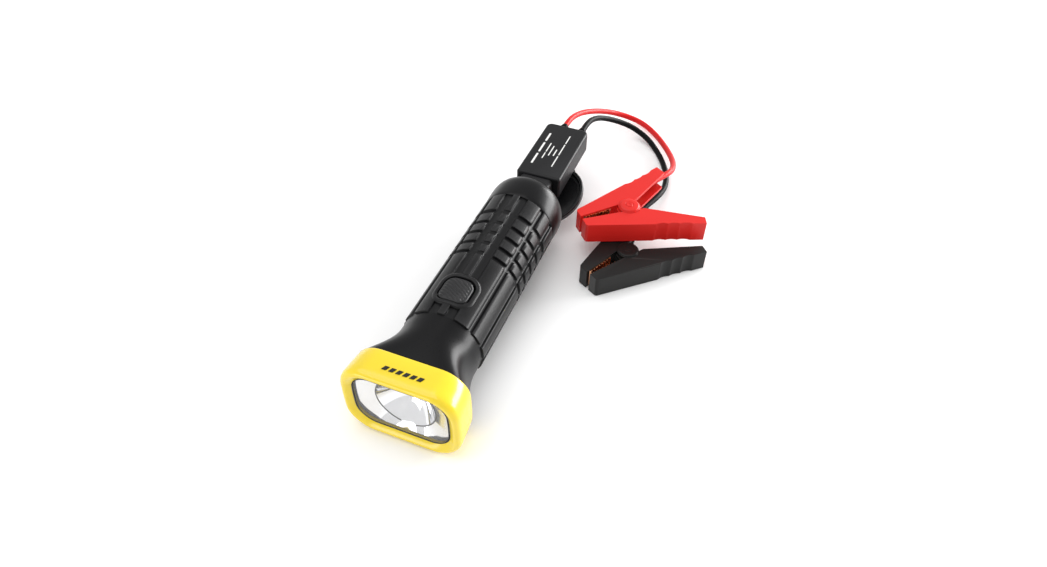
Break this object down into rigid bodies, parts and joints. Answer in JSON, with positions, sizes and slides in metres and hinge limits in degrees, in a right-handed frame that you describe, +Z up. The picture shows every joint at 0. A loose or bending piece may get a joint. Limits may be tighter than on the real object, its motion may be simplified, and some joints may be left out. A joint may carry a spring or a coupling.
{
  "type": "jump starter pack",
  "caption": "Torch-shaped jump starter with a square lamp head, ribbed rubber grip, hinged tail cap and a plugged-in smart jumper lead ending in two battery clamps.",
  "frame": {"origin": "on the floor below the middle of the torch's bounding box, the lead left out", "axes": "+Z up, the torch's axis along Y with the lamp towards -Y, the lead lying towards +X"},
  "size_m": [0.1802, 0.4016, 0.0595],
  "materials": {
    "bezel_yellow": "smooth gloss",
    "lens_clear": "clear polycarbonate window",
    "seal_rubber": "soft seal",
    "reflector_chrome": "vacuum metallised",
    "board_green": "solder mask",
    "led_white": "lit white LED",
    "heatsink_alu": "extruded",
    "housing_black": "glossy black",
    "shell_black": "moulded",
    "grip_rubber": "satin tread",
    "socket_plastic": "moulded",
    "contact_brass": "plated",
    "port_metal": "nickel plated",
    "cell_wrap": "wrapped cells",
    "strap_nickel": "nickel strip",
    "holder_plastic": "moulded",
    "screw_steel": "zinc plated",
    "chip_black": "epoxy",
    "button_black": "satin",
    "cap_grey": "moulded, rubbed rim",
    "module_black": "fine grain",
    "relay_black": "moulded",
    "plug_black": "moulded",
    "cable_red": "silicone",
    "cable_black": "silicone",
    "clamp_red": "moulded ABS",
    "clamp_black": "moulded ABS",
    "jaw_copper": "copper plated",
    "spring_steel": "music wire"
  },
  "bodies": {
    "torch": {"bezel": "bezel_yellow", "lens_gasket": "seal_rubber", "lens": "lens_clear", "reflector": "reflector_chrome", "led_board": "board_green", "led_emitter": "led_white", "led_heatsink": "heatsink_alu", "head_screws": "screw_steel", "neck_housing": "housing_black", "barrel_left_shell": "shell_black", "barrel_right_shell": "shell_black", "barrel_screws": "screw_steel", "grip_sleeve": "grip_rubber", "button_surround": "grip_rubber", "button_switch": "chip_black", "tail_collar": "housing_black", "cap_hinge_pin": "screw_steel", "tail_panel": "socket_plastic", "jump_socket": "socket_plastic", "socket_contacts": "contact_brass", "usb_a_port": "port_metal", "usb_c_port": "port_metal", "port_board": "board_green", "cells_front": "cell_wrap", "cells_rear": "cell_wrap", "cell_holder_front": "holder_plastic", "cell_holder_middle": "holder_plastic", "cell_holder_rear": "holder_plastic", "cell_straps": "strap_nickel", "main_board": "board_green", "board_components": "chip_black"},
    "button": {"power_button": "button_black"},
    "cap": {"tail_cap": "cap_grey", "cap_gasket": "seal_rubber"},
    "lead": {"module_top_shell": "module_black", "module_bottom_shell": "module_black", "module_board": "board_green", "module_relays": "relay_black", "module_screws": "screw_steel", "plug_body": "plug_black", "plug_contacts": "contact_brass", "red_strain_relief": "cable_black", "black_strain_relief": "cable_black", "red_cable": "cable_red", "black_cable": "cable_black", "red_clamp_cable_half": "clamp_red", "red_clamp_cable_jaw": "jaw_copper", "red_clamp_rivet": "screw_steel", "red_clamp_spring": "spring_steel", "red_cable_lug": "jaw_copper", "black_clamp_cable_half": "clamp_black", "black_clamp_cable_jaw": "jaw_copper", "black_clamp_rivet": "screw_steel", "black_clamp_spring": "spring_steel", "black_cable_lug": "jaw_copper"},
    "red_lever": {"red_clamp_lever_half": "clamp_red", "red_clamp_lever_jaw": "jaw_copper"},
    "black_lever": {"black_clamp_lever_half": "clamp_black", "black_clamp_lever_jaw": "jaw_copper"}
  },
  "joints": [
    {"name": "button_press", "type": "slide", "parent": "torch", "child": "button", "axis": [0, 0, -1], "range_m": [0, 0.0012], "stiffness_N_per_m": 500, "springref_m": -0.002},
    {"name": "cap_hinge", "type": "hinge", "parent": "torch", "child": "cap", "pos_m": [0.00683, 0.0843, 0.0039], "axis": [-0.9659, 0, -0.2588], "range_deg": [-1, 45]},
    {"name": "plug_slide", "type": "slide", "parent": "torch", "child": "lead", "axis": [0, 1, 0], "range_m": [0, 0.025]},
    {"name": "red_clamp_pivot", "type": "hinge", "parent": "lead", "child": "red_lever", "pos_m": [0.0746, 0.098, 0.0263], "axis": [0, 0, 1], "range_deg": [0, 40], "stiffness_Nm_per_rad": 0.3, "springref_deg": -28.65},
    {"name": "black_clamp_pivot", "type": "hinge", "parent": "lead", "child": "black_lever", "pos_m": [0.0841, 0.0684, 0.0084], "axis": [0, 0, 1], "range_deg": [0, 40], "stiffness_Nm_per_rad": 0.3, "springref_deg": -28.65}
  ]
}
